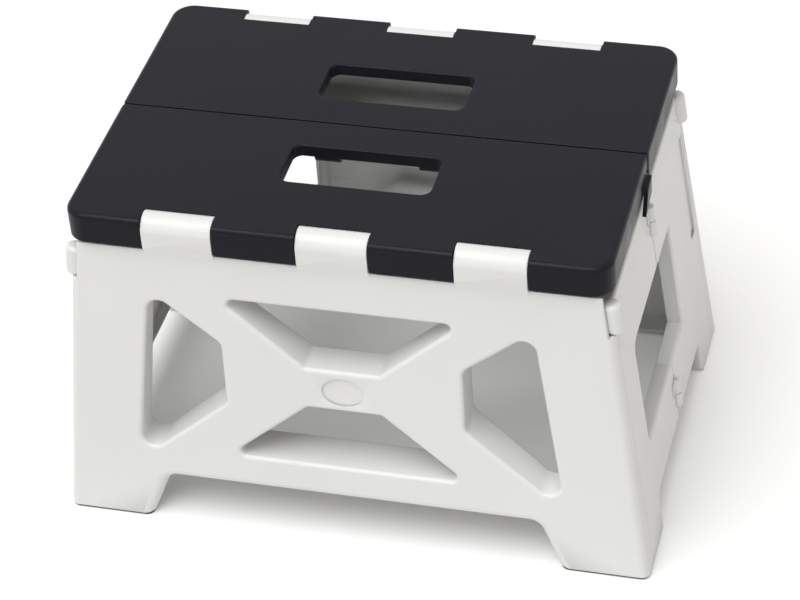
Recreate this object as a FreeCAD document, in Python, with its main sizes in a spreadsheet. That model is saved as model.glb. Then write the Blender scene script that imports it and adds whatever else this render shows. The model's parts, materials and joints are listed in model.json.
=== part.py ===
"""Folding step stool: a two-piece tread on hinged front, rear and end frames.

Millimetres, +Z up, the origin on the floor under the middle of the tread. The long side
runs along X and the front panel faces -Y. The rear half of the stool is the front half
turned half round about Z, apart from the end leaves, which hinge at their middle.
"""
import FreeCAD, Part
import math
import os
import re

import Sketcher
from FreeCAD import Placement, Rotation, Vector

# Driving dimensions
VALUES = {
    # Tread
    "top_length": 300.0,
    "top_depth": 209.0,
    "stand_height": 209.0,
    "seam_gap": 1.0,
    "skirt": 18.0,
    "top_plate": 3.0,
    "skirt_wall": 2.6,
    "plan_corner": 12.5,
    "seam_corner": 4.0,
    "edge_round": 3.0,
    "seam_round": 1.0,
    "rib_wall": 2.2,
    "rib_drop": 11.0,
    "long_rib_near": 13.0,
    "long_rib_far": 70.0,
    "cross_rib_near": 58.0,
    "cross_rib_far": 118.0,
    # Tab that covers the end of the seam
    "tab_length": 20.0,
    "tab_drop": 10.0,
    "tab_rise": 6.0,
    "tab_hook": 5.0,
    "tab_proud": 2.6,
    "tab_gap": 0.3,
    # Hand holes
    "hole_length": 84.0,
    "hole_width": 33.0,
    "hole_offset": 39.5,
    "hole_corner": 6.0,
    "hole_edge": 1.3,
    "hole_depth": 7.0,
    # Outer hinges
    "axis_drop": 8.5,
    "knuckle_width": 39.2,
    "knuckle_pitch": 86.0,
    "cheek": 4.0,
    "rod_radius": 2.5,
    "rod_fit": 0.1,
    "rod_tail": 2.0,
    "side_gap": 0.5,
    "swing_gap": 0.6,
    # Centre hinge of the tread
    "centre_drop": 19.5,
    "lug_radius": 6.0,
    "lug_width": 14.0,
    "lug_inset": 8.0,
    "lug_mid": 30.0,
    "lug_far": 80.0,
    # Panels
    "panel_drop": 20.5,
    "face_inset": 2.5,
    "face_spread": 9.0,
    "end_inset": 2.0,
    "end_spread": 20.0,
    "panel_wall": 3.2,
    "sleeve_wall": 2.6,
    "corner_round": 5.0,
    "back_gap": 0.5,
    "knuckle_root": 4.0,
    "foot_width": 50.5,
    "arch_slope": 12.0,
    "arch_height": 30.5,
    "arch_round": 8.0,
    "foot_round": 6.0,
    "window_round": 3.5,
    "side_round": 7.0,
    "window_edge": 2.4,
    "lining_back": 10.0,
    # Corners of the panel windows, from the middle of the panel, the tread, the floor and the brace
    "brace_drop": 49.0,
    "brace_low": 53.0,
    "tip_half": 68.0,
    "waist_half": 21.0,
    "waist_rise": 13.4,
    "side_near": 68.0,
    "side_rise": 23.2,
    "side_fall": 17.5,
    "side_far_high": 107.0,
    "side_far_low": 122.8,
    "side_low": 42.0,
    # Bare oval on the waist of the panel
    "oval_half_length": 12.0,
    "oval_half_width": 9.2,
    "oval_depth": 1.2,
    # End leaves
    "leaf_drop": 27.0,
    "leaf_thick": 9.5,
    "leaf_skin": 3.0,
    "leaf_wall": 2.6,
    "leaf_lip": 2.0,
    "leaf_gap": 0.3,
    "leaf_edge": 2.0,
    "leaf_foot": 28.5,
    "leaf_arch": 23.0,
    "leaf_slope": 3.0,
    "window_half": 68.0,
    "post_near": 38.0,
    "window_low": 62.0,
    "window_drop": 78.0,
    "leaf_round": 6.0,
    "slot_width": 10.0,
    "slot_length": 70.0,
    "slot_drop": 26.0,
    "slot_inset": 4.0,
    "slot_depth": 1.6,
    "mid_gap": 0.5,
    "centre_proud": 0.5,
    # Corner hinges of the leaves
    "fold_angle": 83.0,
    "fold_gap": 0.8,
    "ear_radius": 4.5,
    "ear_length": 6.0,
    "ear_drop": 15.5,
    "ear_low": 42.0,
    "leaf_lug": 5.0,
    "pin_radius": 1.75,
    "pin_fit": 0.1,
    "boss_radius": 5.0,
    "boss_proud": 4.5,
    "boss_length": 19.0,
    "boss_round": 2.5,
    "boss_notch": 3.5,
    # Hinges between the leaves
    "barrel_radius": 2.8,
    "barrel_length": 9.0,
    "barrel_web": 4.0,
    "barrel_drop": 18.0,
    "barrel_low": 42.0,
    "barrel_pin": 1.2,
    # Rubber feet
    "pad": 1.6,
    "pad_inset": 0.8,
}

# Places worked out from the driving dimensions
HALF_LENGTH = "(top_length / 2)"
HALF_DEPTH = "(top_depth / 2)"
SKIRT_LOW = "(stand_height - skirt)"
AXIS_Y = f"({HALF_DEPTH} - axis_drop)"
AXIS_Z = "(stand_height - axis_drop)"
CENTRE_Z = "(stand_height - centre_drop)"
NOTCH_HALF = "(knuckle_width / 2 + side_gap)"
PANEL_TOP = "(stand_height - panel_drop)"
FACE_TOP = f"({HALF_DEPTH} - face_inset)"
FACE_FOOT = f"({HALF_DEPTH} + face_spread)"
BACK = f"({AXIS_Y} + back_gap)"
END_TOP = f"({HALF_LENGTH} - end_inset)"
END_FOOT = f"({HALF_LENGTH} + end_spread)"
LEAN = f"atan(({END_FOOT} - {END_TOP}) / {PANEL_TOP})"
TILT = f"atan(({FACE_FOOT} - {FACE_TOP}) / {PANEL_TOP})"
BRACE_HIGH = "(stand_height - brace_drop)"
BRACE_MID = f"(({BRACE_HIGH} + brace_low) / 2)"
END_PAD = f"({END_FOOT} - pad * tan({LEAN}))"
FOOT_IN = f"({END_PAD} - foot_width)"
LEAF_AXIS = "(centre_drop - axis_drop - centre_proud)"
LEAF_EDGE = f"({AXIS_Y} + leaf_lip)"
LEAF_TOP = f"((stand_height - leaf_drop) / cos({LEAN}))"
EARS = {"ear_high": f"({LEAF_TOP} - ear_drop)", "ear_low": "ear_low"}
BARRELS = {"barrel_high": f"({LEAF_TOP} - barrel_drop)", "barrel_low": "barrel_low"}
SWING = "(sqrt(axis_drop^2 + (skirt - axis_drop)^2) + swing_gap)"
ROD_HALF = f"(knuckle_pitch + {NOTCH_HALF} + cheek + rod_tail)"

# Turns that lay a sketch or an axis in place
LEVEL = Rotation()
UPRIGHT = Rotation(Vector(1, 0, 0), 90)
SIDEWAYS = Rotation(Vector(1, 1, 1), 120)
ALONG_X = Rotation(Vector(0, 1, 0), 90)
HALF_TURN = Placement(Vector(), Rotation(Vector(0, 0, 1), 180))

doc = FreeCAD.newDocument("folding_step_stool")


def make_sheet():
    """Write the driving dimensions to a sheet, one aliased cell each."""
    sheet = doc.addObject("Spreadsheet::Sheet", "dims")
    for row, (alias, value) in enumerate(VALUES.items(), start=1):
        sheet.set(f"A{row}", alias)
        sheet.set(f"B{row}", str(value))
        sheet.setAlias(f"B{row}", alias)
    doc.recompute()


def ref(expression):
    """Point every dimension named in an expression at its cell."""
    return re.sub(r"[a-z_]+", lambda word: f"dims.{word[0]}" if word[0] in VALUES else word[0], expression)


def bind(item, **expressions):
    """Bind properties of an object to expressions of the sheet's dimensions."""
    for name, expression in expressions.items():
        item.setExpression(name, ref(expression))


def move(item, place):
    """Bind the base of an object's placement to three expressions."""
    for axis, expression in zip("xyz", place):
        item.setExpression(f"Placement.Base.{axis}", ref(expression))


def face_at(height):
    """How far the panel's face stands from the middle plane at a height."""
    return f"({FACE_FOOT} - ({FACE_FOOT} - {FACE_TOP}) * ({height}) / {PANEL_TOP})"


def box(name, low, high):
    """A block between two corners."""
    item = doc.addObject("Part::Box", name)
    sizes = [f"({b}) - ({a})" for a, b in zip(low, high)]
    bind(item, Length=sizes[0], Width=sizes[1], Height=sizes[2])
    move(item, low)
    return item


def rod(name, radius, low, high, place):
    """A cylinder along X from low to high, at a place in Y and Z."""
    item = doc.addObject("Part::Cylinder", name)
    item.Placement = Placement(Vector(), ALONG_X)
    bind(item, Radius=radius, Height=f"({high}) - ({low})")
    move(item, (low, *place))
    return item


def post(name, radius, place, low, high):
    """A cylinder along Z from low to high, at a place in X and Y."""
    item = doc.addObject("Part::Cylinder", name)
    bind(item, Radius=radius, Height=f"({high}) - ({low})")
    move(item, (*place, low))
    return item


def outline(name, points, turn, base=("0", "0", "0")):
    """A closed sketch through points whose coordinates are expressions."""
    sketch = doc.addObject("Sketcher::SketchObject", name)
    sketch.Placement = Placement(Vector(), turn)
    move(sketch, base)
    count = len(points)
    start = [Vector(100, 0, 0), Vector(100, 1, 0)]
    for index in range(count):
        sketch.addGeometry(Part.LineSegment(*start))
    for index in range(count):
        sketch.addConstraint(Sketcher.Constraint("Coincident", index, 2, (index + 1) % count, 1))
    for index, point in enumerate(points):
        for kind, expression in zip(("DistanceX", "DistanceY"), point):
            number = sketch.addConstraint(Sketcher.Constraint(kind, -1, 1, index, 1, 1.0))
            sketch.setExpression(f"Constraints[{number}]", ref(expression))
    return sketch


def offset(name, source, amount, join="Arc"):
    """The outline moved outwards by an amount, or inwards where it is negative."""
    item = doc.addObject("Part::Offset2D", name)
    item.Source = source
    item.Join = join
    bind(item, Value=amount)
    return item


def rounded(name, source, radius):
    """The outline with its outer corners rounded."""
    inner = offset(f"{name}_inner", source, f"-({radius})", "Intersection")
    return offset(name, inner, radius)


def hollowed(name, source, radius):
    """The outline with its inner corners rounded."""
    outer = offset(f"{name}_outer", source, radius, "Intersection")
    return offset(name, outer, f"-({radius})")


def extrude(name, source, direction, forward, backward="0"):
    """A solid pulled from an outline."""
    item = doc.addObject("Part::Extrusion", name)
    item.Base = source
    item.DirMode = "Custom"
    item.Dir = Vector(*direction)
    item.Solid = True
    bind(item, LengthFwd=forward, LengthRev=backward)
    return item


def fuse(name, items):
    item = doc.addObject("Part::MultiFuse", name)
    item.Shapes = items
    return item


def common(name, first, second):
    item = doc.addObject("Part::MultiCommon", name)
    item.Shapes = [first, second]
    return item


def cut(name, base, tools):
    item = doc.addObject("Part::Cut", name)
    item.Base = base
    item.Tool = tools[0] if len(tools) == 1 else fuse(f"{name}_tools", tools)
    return item


def group(name, items, placement=Placement()):
    """Separate solids held together, in their own place."""
    item = doc.addObject("Part::Compound", name)
    item.Links = items
    item.Placement = placement
    return item


def mirrored(name, source, normal):
    item = doc.addObject("Part::Mirroring", name)
    item.Source = source
    item.Normal = Vector(*normal)
    return item


def fillet(name, base, radius, wanted):
    """Round the edges of a base for which wanted(edge) is true."""
    doc.recompute()
    edges = [number for number, edge in enumerate(base.Shape.Edges, start=1) if wanted(edge)]
    item = doc.addObject("Part::Fillet", name)
    item.Base = base
    item.Edges = [(number, radius, radius) for number in edges]
    return item


def seat_on_end(item):
    """Lean an object made upright at X 0 onto the right end of the stool."""
    item.Placement = Placement(Vector(), Rotation(Vector(0, -1, 0), 1))
    item.setExpression("Placement.Base.x", ref(END_FOOT))
    item.setExpression("Placement.Rotation.Angle", ref(LEAN))
    return item


def knuckle_places():
    """The middles of the knuckles along the hinge."""
    return {"left": "-knuckle_pitch", "middle": "0", "right": "knuckle_pitch"}


def lug_places():
    """The middles of one tread half's centre lugs along the hinge."""
    return {"end": f"{HALF_LENGTH} - lug_inset", "mid": "lug_mid", "far": "-lug_far"}


# Tread


def seam_corners():
    """What rounds the front tread half's two corners at the seam, from outside."""
    low, high = f"{SKIRT_LOW} - 1", "stand_height + 1"
    middle = (f"{HALF_LENGTH} - seam_corner", "-seam_gap / 2 - seam_corner")
    block = box("seam_corner_block", (*middle, low), (f"{HALF_LENGTH} + 1", "1", high))
    right = cut("seam_corner_right", block, [post("seam_corner_post", "seam_corner", middle, low, high)])
    return [right, mirrored("seam_corner_left", right, (1, 0, 0))]


def on_hole_rim(edge):
    """Whether an edge is where the hand hole meets the tread's upper face."""
    span = edge.BoundBox
    inside = abs(span.Center.y + VALUES["hole_offset"]) < VALUES["hole_width"] / 2 + 1
    return (inside and span.ZMin > VALUES["stand_height"] - 0.01
            and abs(span.Center.x) < VALUES["hole_length"] / 2 + 1)


def tread_shell(hole):
    """The front tread half as an open tray with a rounded rim, a skirt and a soft-edged hand hole."""
    corners = [(f"{sx}{HALF_LENGTH}", f"{sy}{HALF_DEPTH}") for sx, sy in ("--", " -", "  ", "- ")]
    sketch = outline("tread_outline", corners, LEVEL, ("0", "0", SKIRT_LOW))
    rim = rounded("tread_rim", sketch, "plan_corner")
    block = extrude("tread_block", rim, (0, 0, 1), "skirt")
    top = VALUES["stand_height"]
    soft = fillet("tread_soft", block, VALUES["edge_round"], lambda edge: edge.BoundBox.ZMin > top - 0.01)
    front = box("front_side", (f"-{HALF_LENGTH}", f"-{HALF_DEPTH}", SKIRT_LOW),
                (HALF_LENGTH, "-seam_gap / 2", "stand_height"))
    half = common("tread_half", soft, front)
    seam = fillet("tread_seam", half, VALUES["seam_round"],
                  lambda edge: edge.BoundBox.ZMin > top - 0.01 and edge.BoundBox.YMin > -1)
    inner = offset("tread_inner", rim, "-skirt_wall")
    hollow = extrude("tread_hollow", inner, (0, 0, 1), "skirt - top_plate", "1")
    inside = box("front_inside", (f"-{HALF_LENGTH}", f"-{HALF_DEPTH}", f"{SKIRT_LOW} - 1"),
                 (HALF_LENGTH, "-seam_gap / 2 - skirt_wall", "stand_height"))
    pierced = cut("tread_pierced", seam, [hole, *seam_corners()])
    eased = fillet("tread_eased", pierced, VALUES["hole_edge"], on_hole_rim)
    return cut("tread_tray", eased, [common("tread_core", hollow, inside)])


def hand_hole():
    """The hand hole and the sleeve that lines it."""
    ends = [f"{side}hole_length / 2" for side in "- "]
    sides = [f"-hole_offset {side} hole_width / 2" for side in "-+"]
    corners = [(ends[0], sides[0]), (ends[1], sides[0]), (ends[1], sides[1]), (ends[0], sides[1])]
    sketch = outline("hole_outline", corners, LEVEL, ("0", "0", SKIRT_LOW))
    hole = rounded("hole_rim", sketch, "hole_corner")
    sleeve = offset("hole_sleeve", hole, "skirt_wall")
    return (extrude("hole_cut", hole, (0, 0, 1), "skirt + 1", "1"),
            extrude("hole_lining", sleeve, (0, 0, 1), "skirt - top_plate / 2", "hole_depth - skirt"))


def tread_ribs():
    """Stiffening ribs under the tread plate."""
    low = "stand_height - top_plate - rib_drop"
    high = "stand_height - top_plate / 2"
    ribs = []
    for name in ("long_rib_near", "long_rib_far"):
        ribs.append(box(name, (f"-{HALF_LENGTH} + skirt_wall / 2", f"-{name} - rib_wall / 2", low),
                        (f"{HALF_LENGTH} - skirt_wall / 2", f"-{name} + rib_wall / 2", high)))
    for name in ("cross_rib_near", "cross_rib_far"):
        for side in ("-", ""):
            label = f"{name}_left" if side else f"{name}_right"
            ribs.append(box(label, (f"{side}{name} - rib_wall / 2", f"-{HALF_DEPTH} + skirt_wall / 2", low),
                            (f"{side}{name} + rib_wall / 2", "-seam_gap / 2 - skirt_wall / 2", high)))
    return ribs


def knuckle_housings():
    """Cheeks and curved backs round the knuckles, and the notches cut in them."""
    housings, notches = [], []
    back = f"-({AXIS_Y} - axis_drop - swing_gap - skirt_wall)"
    for side, place in knuckle_places().items():
        housings.append(box(f"housing_{side}",
                            (f"{place} - {NOTCH_HALF} - cheek", f"-{HALF_DEPTH} + skirt_wall / 2", SKIRT_LOW),
                            (f"{place} + {NOTCH_HALF} + cheek", back, "stand_height - top_plate / 2")))
        span = (f"{place} - {NOTCH_HALF}", f"{place} + {NOTCH_HALF}")
        notches.append(box(f"notch_{side}", (span[0], f"-{HALF_DEPTH} - 1", f"{SKIRT_LOW} - 1"),
                           (span[1], f"-{AXIS_Y} + swing_gap", "stand_height + 1")))
        notches.append(rod(f"notch_round_{side}", "axis_drop + swing_gap", *span, (f"-{AXIS_Y}", AXIS_Z)))
    return housings, notches


def centre_lugs():
    """Lugs under the seam, and the room for the other half's lugs."""
    lugs, room = [], []
    for side, place in lug_places().items():
        span = (f"{place} - lug_width / 2", f"{place} + lug_width / 2")
        lugs.append(rod(f"lug_{side}", "lug_radius", *span, ("0", CENTRE_Z)))
        lugs.append(box(f"lug_web_{side}", (span[0], "-lug_radius", CENTRE_Z),
                        (span[1], "-seam_gap / 2", "stand_height - top_plate / 2")))
        room.append(rod(f"lug_room_{side}", "lug_radius + swing_gap",
                        f"-({place}) - lug_width / 2 - side_gap", f"-({place}) + lug_width / 2 + side_gap",
                        ("0", CENTRE_Z)))
    return lugs, room


def seam_tab():
    """A tab on the outside of the tread's right end that covers the end of the seam."""
    near, far = "-seam_gap / 2 - rod_radius", "-tab_length + tab_hook"
    high = f"{SKIRT_LOW} + tab_rise"
    points = [(near, high), (near, f"{SKIRT_LOW} - tab_drop / 2"), ("-tab_length", f"{SKIRT_LOW} - tab_drop"),
              (far, SKIRT_LOW), (far, high)]
    sketch = outline("tab_sketch", points, SIDEWAYS, (f"{HALF_LENGTH} + tab_gap", "0", "0"))
    root = box("tab_root", (f"{HALF_LENGTH} - skirt_wall / 2", far, f"{SKIRT_LOW} + tab_rise / 4"),
               (f"{HALF_LENGTH} + tab_proud", near, high))
    return [extrude("tab_plate", sketch, (1, 0, 0), "tab_proud - tab_gap"), root]


def build_tread():
    """Both tread halves and the rod of the hinge between them."""
    hole, lining = hand_hole()
    housings, notches = knuckle_housings()
    lugs, room = centre_lugs()
    bores = [rod("tread_rod_bore", "rod_radius + rod_fit", f"-{ROD_HALF}", ROD_HALF, (f"-{AXIS_Y}", AXIS_Z)),
             rod("lug_bore", "rod_radius + rod_fit", f"-{HALF_LENGTH} - 1", f"{HALF_LENGTH} + 1",
                 ("0", CENTRE_Z))]
    cleared = cut("tread_cleared", fuse("tread_body", [tread_shell(hole), lining, *tread_ribs(), *housings]),
                  room)
    front = cut("tread_front", fuse("tread_lugged", [cleared, *seam_tab(), *lugs]), [hole, *notches, *bores])
    spindle = rod("centre_spindle", "rod_radius", f"-{HALF_LENGTH} + rod_tail", f"{HALF_LENGTH} - rod_tail",
                  ("0", CENTRE_Z))
    return {"top_front": front,
            "top_rear": group("tread_rear", [front], HALF_TURN),
            "centre_hinge_rod": spindle}


# Panels


def panel_outline():
    """The panel from the front: a trapezium on two feet."""
    right = [(FOOT_IN, "pad"), (END_PAD, "pad"), (END_TOP, PANEL_TOP)]
    arch = f"{FOOT_IN} - arch_slope"
    left = [(f"-{x}", z) for x, z in reversed(right)]
    points = right + left + [(f"-({arch})", "arch_height"), (arch, "arch_height")]
    sketch = outline("panel_sketch", points, UPRIGHT, ("0", f"-{BACK}", "0"))
    return hollowed("panel_rim", sketch, "arch_round")


def wedge(name, inset):
    """The space between the panel's back plane and its sloping face, the face set in by a wall."""
    points = [(f"-{face_at('pad')} + {inset}", "pad"), (f"-{FACE_TOP} + {inset}", PANEL_TOP),
              (f"-{BACK} + 1", PANEL_TOP), (f"-{BACK} + 1", "pad")]
    sketch = outline(f"{name}_sketch", points, SIDEWAYS, (f"-{END_FOOT} - 1", "0", "0"))
    return extrude(name, sketch, (1, 0, 0), f"2 * {END_FOOT} + 2")


def window_outlines():
    """The four windows of the panel that leave a crossed brace."""
    side = [("side_near", f"{BRACE_MID} + side_rise"), ("side_near", f"{BRACE_MID} - side_fall"),
            ("side_far_low", "side_low"), ("side_far_high", BRACE_HIGH)]
    waist_high, waist_low = f"{BRACE_MID} + waist_rise", f"{BRACE_MID} - waist_rise"
    shapes = {"window_right": (side, "side_round"),
              "window_left": ([(f"-{x}", z) for x, z in side], "side_round"),
              "window_top": ([("-tip_half", BRACE_HIGH), ("tip_half", BRACE_HIGH),
                              ("waist_half", waist_high), ("-waist_half", waist_high)], "window_round"),
              "window_bottom": ([("-tip_half", "brace_low"), ("tip_half", "brace_low"),
                                 ("waist_half", waist_low), ("-waist_half", waist_low)], "window_round")}
    return {name: rounded(name, outline(f"{name}_sketch", points, UPRIGHT, ("0", f"-{BACK}", "0")), radius)
            for name, (points, radius) in shapes.items()}


def on_corner(edge):
    """Whether an edge is one of the panel's two long front corners."""
    span = edge.BoundBox
    tall = span.ZLength > VALUES["stand_height"] / 2
    return tall and span.Center.y < -VALUES["top_depth"] / 2 + VALUES["axis_drop"] / 2


def on_foot_side(edge):
    """Whether an edge is where the arch between the feet meets the panel's sloping face."""
    span = edge.BoundBox
    low = span.ZMin < VALUES["pad"] + 0.01 and 1 < span.ZLength < VALUES["arch_height"]
    inside = abs(span.Center.x) < VALUES["top_length"] / 2 + VALUES["end_spread"] - VALUES["foot_width"] / 2
    return low and inside and span.Center.y < -VALUES["top_depth"] / 2 + VALUES["face_inset"]


def on_window_rim(edge):
    """Whether an edge is where a window meets the panel's sloping face."""
    slope = (VALUES["face_spread"] + VALUES["face_inset"]) / (VALUES["stand_height"] - VALUES["panel_drop"])
    foot = VALUES["top_depth"] / 2 + VALUES["face_spread"]
    on_face = all(abs(point.Y + foot - slope * point.Z) < 0.01 for point in edge.Vertexes)
    middle = edge.BoundBox.Center
    high = VALUES["stand_height"] - VALUES["brace_drop"]
    inside = VALUES["arch_height"] < middle.z - 1 and middle.z < high + 1
    return on_face and inside and abs(middle.x) < VALUES["top_length"] / 2 - VALUES["corner_round"] * 2


def fold_room():
    """The space behind the panel that the right front leaf fills when it is folded."""
    near, far = f"-{LEAF_AXIS}", f"-{LEAF_AXIS} - {AXIS_Y} - barrel_radius - swing_gap"
    start = f"-{AXIS_Y} + {LEAF_AXIS} - leaf_thick - fold_gap"
    end = f"{start} + ({AXIS_Y} + barrel_radius + swing_gap) * tan(90 - fold_angle)"
    points = [(near, start), (near, "0"), (far, "0"), (far, end)]
    sketch = outline("fold_room_sketch", points, LEVEL, ("0", "0", "-leaf_arch"))
    space = extrude("fold_room", sketch, (0, 0, 1), f"{LEAF_TOP} + 2 * leaf_arch")
    return seat_on_end(group("fold_room_leaned", [space]))


def panel_shell():
    """The panel as an open-backed shell with a lined window in each gap of the brace."""
    rim = panel_outline()
    reach = f"{FACE_FOOT} - {BACK} + 1"
    full = common("panel_full", extrude("panel_block", rim, (0, -1, 0), reach), wedge("panel_wedge", "0"))
    footed = fillet("panel_footed", full, VALUES["foot_round"], on_foot_side)
    soft = fillet("panel_soft", footed, VALUES["corner_round"], on_corner)
    inner = offset("panel_inner", rim, "-panel_wall", "Intersection")
    core = common("panel_core", extrude("panel_hollow", inner, (0, -1, 0), reach, "1"),
                  wedge("panel_core_wedge", "panel_wall"))
    core_soft = fillet("panel_core_soft", core, VALUES["corner_round"] - VALUES["panel_wall"], on_corner)
    holes, linings, backs = [], [], []
    for name, window in window_outlines().items():
        sleeve = offset(f"{name}_sleeve", window, "sleeve_wall")
        holes.append(extrude(f"{name}_hole", window, (0, -1, 0), reach, "2 * lining_back"))
        linings.append(extrude(f"{name}_lining", sleeve, (0, -1, 0), reach, "2"))
        backs.append(extrude(f"{name}_back", sleeve, (0, 1, 0), "back_gap + lining_back", "panel_wall"))
    pierced = cut("panel_pierced", soft, holes)
    eased = fillet("panel_eased", pierced, VALUES["window_edge"], on_window_rim)
    shell = cut("panel_open", eased, [cut("panel_cavity", core_soft, linings)])
    room = fold_room()
    tubes = cut("window_tubes", fuse("window_backs", backs),
                [*holes, room, mirrored("fold_room_left", room, (1, 0, 0))])
    return fuse("panel_lined", [shell, tubes])


def oval_recess():
    """A shallow bare oval on the waist of the brace."""
    ring = doc.addObject("Part::Ellipse", "oval_ring")
    bind(ring, MajorRadius="oval_half_length", MinorRadius="oval_half_width")
    ring.Placement = Placement(Vector(), Rotation(Vector(1, 0, 0), 1))
    ring.setExpression("Placement.Rotation.Angle", ref(f"90 deg - {TILT}"))
    move(ring, ("0", f"-{face_at(BRACE_MID)}", BRACE_MID))
    angle = math.atan((VALUES["face_spread"] + VALUES["face_inset"])
                      / (VALUES["stand_height"] - VALUES["panel_drop"]))
    return extrude("oval", ring, (0, -math.cos(angle), math.sin(angle)), "2", "oval_depth")


def panel_knuckles():
    """Hinge knuckles that stand up through the notches of the tread."""
    root = f"({PANEL_TOP} - knuckle_root)"
    points = [(f"-{HALF_DEPTH}", AXIS_Z), (f"-{HALF_DEPTH}", SKIRT_LOW),
              (f"-{face_at(root)} + panel_wall / 4", root), (f"-{AXIS_Y}", root), (f"-{AXIS_Y}", AXIS_Z)]
    knuckles = []
    for side, place in knuckle_places().items():
        span = (f"{place} - knuckle_width / 2", f"{place} + knuckle_width / 2")
        arm = outline(f"arm_sketch_{side}", points, SIDEWAYS, (span[0], "0", "0"))
        knuckles.append(extrude(f"arm_{side}", arm, (1, 0, 0), "knuckle_width"))
        knuckles.append(rod(f"knuckle_{side}", "axis_drop", *span, (f"-{AXIS_Y}", AXIS_Z)))
    return knuckles


def corner_axis():
    """The corner hinge's place on an upright end, outward and along the end."""
    return f"-{LEAF_AXIS}", f"-{AXIS_Y}"


def panel_ears():
    """Ears on the right of the panel that hold the corner pins."""
    ears = []
    for name, place in EARS.items():
        low, high = f"{place} - ear_length / 2", f"{place} + ear_length / 2"
        ears.append(post(f"{name}_eye", "ear_radius", corner_axis(), low, high))
        wall = f"{face_at(f'{place} * cos({LEAN})')} - panel_wall / 2"
        ears.append(box(f"{name}_web", (f"-{LEAF_AXIS} - ear_radius", f"-({wall})", low),
                        (f"-{LEAF_AXIS}", f"-{AXIS_Y}", high)))
    return seat_on_end(fuse("panel_ears", ears))


def leaf_room():
    """The corner of the panel that the right front leaf, its lugs and its boss turn in."""
    back, high = f"-{BACK} + 2", f"{PANEL_TOP} + leaf_arch"
    deep = f"-{LEAF_AXIS} - ear_radius - swing_gap"
    spaces = [box("leaf_room", (deep, f"-{LEAF_EDGE} - leaf_gap", "-leaf_arch"), ("boss_proud", back, high))]
    reach = "(ear_length / 2 + 2 * side_gap + leaf_lug)"
    front = f"-{AXIS_Y} - ear_radius - swing_gap"
    for name, place in EARS.items():
        spaces.append(box(f"{name}_lug_room", (deep, front, f"{place} - {reach}"),
                          (f"-{LEAF_AXIS} + ear_radius + swing_gap", back, f"{place} + {reach}")))
    low, middle = f"{LEAF_TOP} - boss_length - leaf_gap", ("boss_proud - boss_radius", f"-{AXIS_Y}")
    spaces.append(post("boss_room", "boss_radius + leaf_gap", middle, low, high))
    spaces.append(box("boss_gap", ("-boss_notch", f"-{FACE_FOOT} - 1", low), ("boss_proud", back, high)))
    return seat_on_end(fuse("leaf_room_leaned", spaces))


def corner_bores():
    """The bores of the right front corner pins."""
    bore = post("corner_bore", "pin_radius + pin_fit", corner_axis(), "0", LEAF_TOP)
    return seat_on_end(group("corner_bore_leaned", [bore]))


def build_panels():
    """Both panels with their rods, pins and rubber feet."""
    swing = rod("tread_swing", SWING, f"-{END_FOOT}", END_FOOT, (f"-{AXIS_Y}", AXIS_Z))
    room = leaf_room()
    shell = cut("panel_cleared", panel_shell(), [swing, room, mirrored("leaf_room_left", room, (1, 0, 0)),
                                                 oval_recess()])
    ears = panel_ears()
    left_ears = mirrored("panel_ears_left", ears, (1, 0, 0))
    whole = fuse("panel_whole", [shell, ears, left_ears, *panel_knuckles()])
    bores = corner_bores()
    rod_bore = rod("panel_rod_bore", "rod_radius + rod_fit", f"-{ROD_HALF}", ROD_HALF, (f"-{AXIS_Y}", AXIS_Z))
    front = cut("panel_front", whole, [bores, mirrored("corner_bore_left", bores, (1, 0, 0)), rod_bore])
    front_rod = rod("front_rod", "rod_radius", f"-{ROD_HALF} + rod_fit", f"{ROD_HALF} - rod_fit",
                    (f"-{AXIS_Y}", AXIS_Z))
    nodes = {"front_panel": front, "rear_panel": group("panel_rear", [front], HALF_TURN),
             "front_hinge_rod": front_rod, "rear_hinge_rod": group("rear_rod", [front_rod], HALF_TURN)}
    nodes.update(build_corner_pins())
    nodes.update(build_panel_pads())
    return nodes


def build_corner_pins():
    """A pair of pins in each corner hinge."""
    reach = "(ear_length / 2 + side_gap + leaf_lug)"
    pins = [post(f"{name}_pin", "pin_radius", corner_axis(), f"{place} - {reach}", f"{place} + {reach}")
            for name, place in EARS.items()]
    right = seat_on_end(group("front_right_pair", pins))
    left = mirrored("front_left_pair", right, (1, 0, 0))
    return {"front_right_corner_pins": right,
            "front_left_corner_pins": left,
            "rear_left_corner_pins": group("rear_left_pair", [right], HALF_TURN),
            "rear_right_corner_pins": group("rear_right_pair", [left], HALF_TURN)}


def build_panel_pads():
    """Rubber pads under the panel feet."""
    right = box("pad_right", (f"{FOOT_IN} + pad_inset", f"-{face_at('pad')} + pad_inset", "0"),
                (f"{END_PAD} - pad_inset", f"-{LEAF_EDGE} - pad_inset", "pad"))
    front = VALUES["top_depth"] / 2
    soft = fillet("pad_soft", right, VALUES["corner_round"] - VALUES["pad_inset"],
                  lambda edge: edge.BoundBox.ZLength > VALUES["pad"] / 2 and edge.BoundBox.YMax < -front)
    left = mirrored("pad_left", soft, (1, 0, 0))
    return {"front_right_foot_pad": soft,
            "front_left_foot_pad": left,
            "rear_left_foot_pad": group("pad_rear_left", [soft], HALF_TURN),
            "rear_right_foot_pad": group("pad_rear_right", [left], HALF_TURN)}


# End leaves, made upright with X outward and Z up, then leaned onto the end


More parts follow.
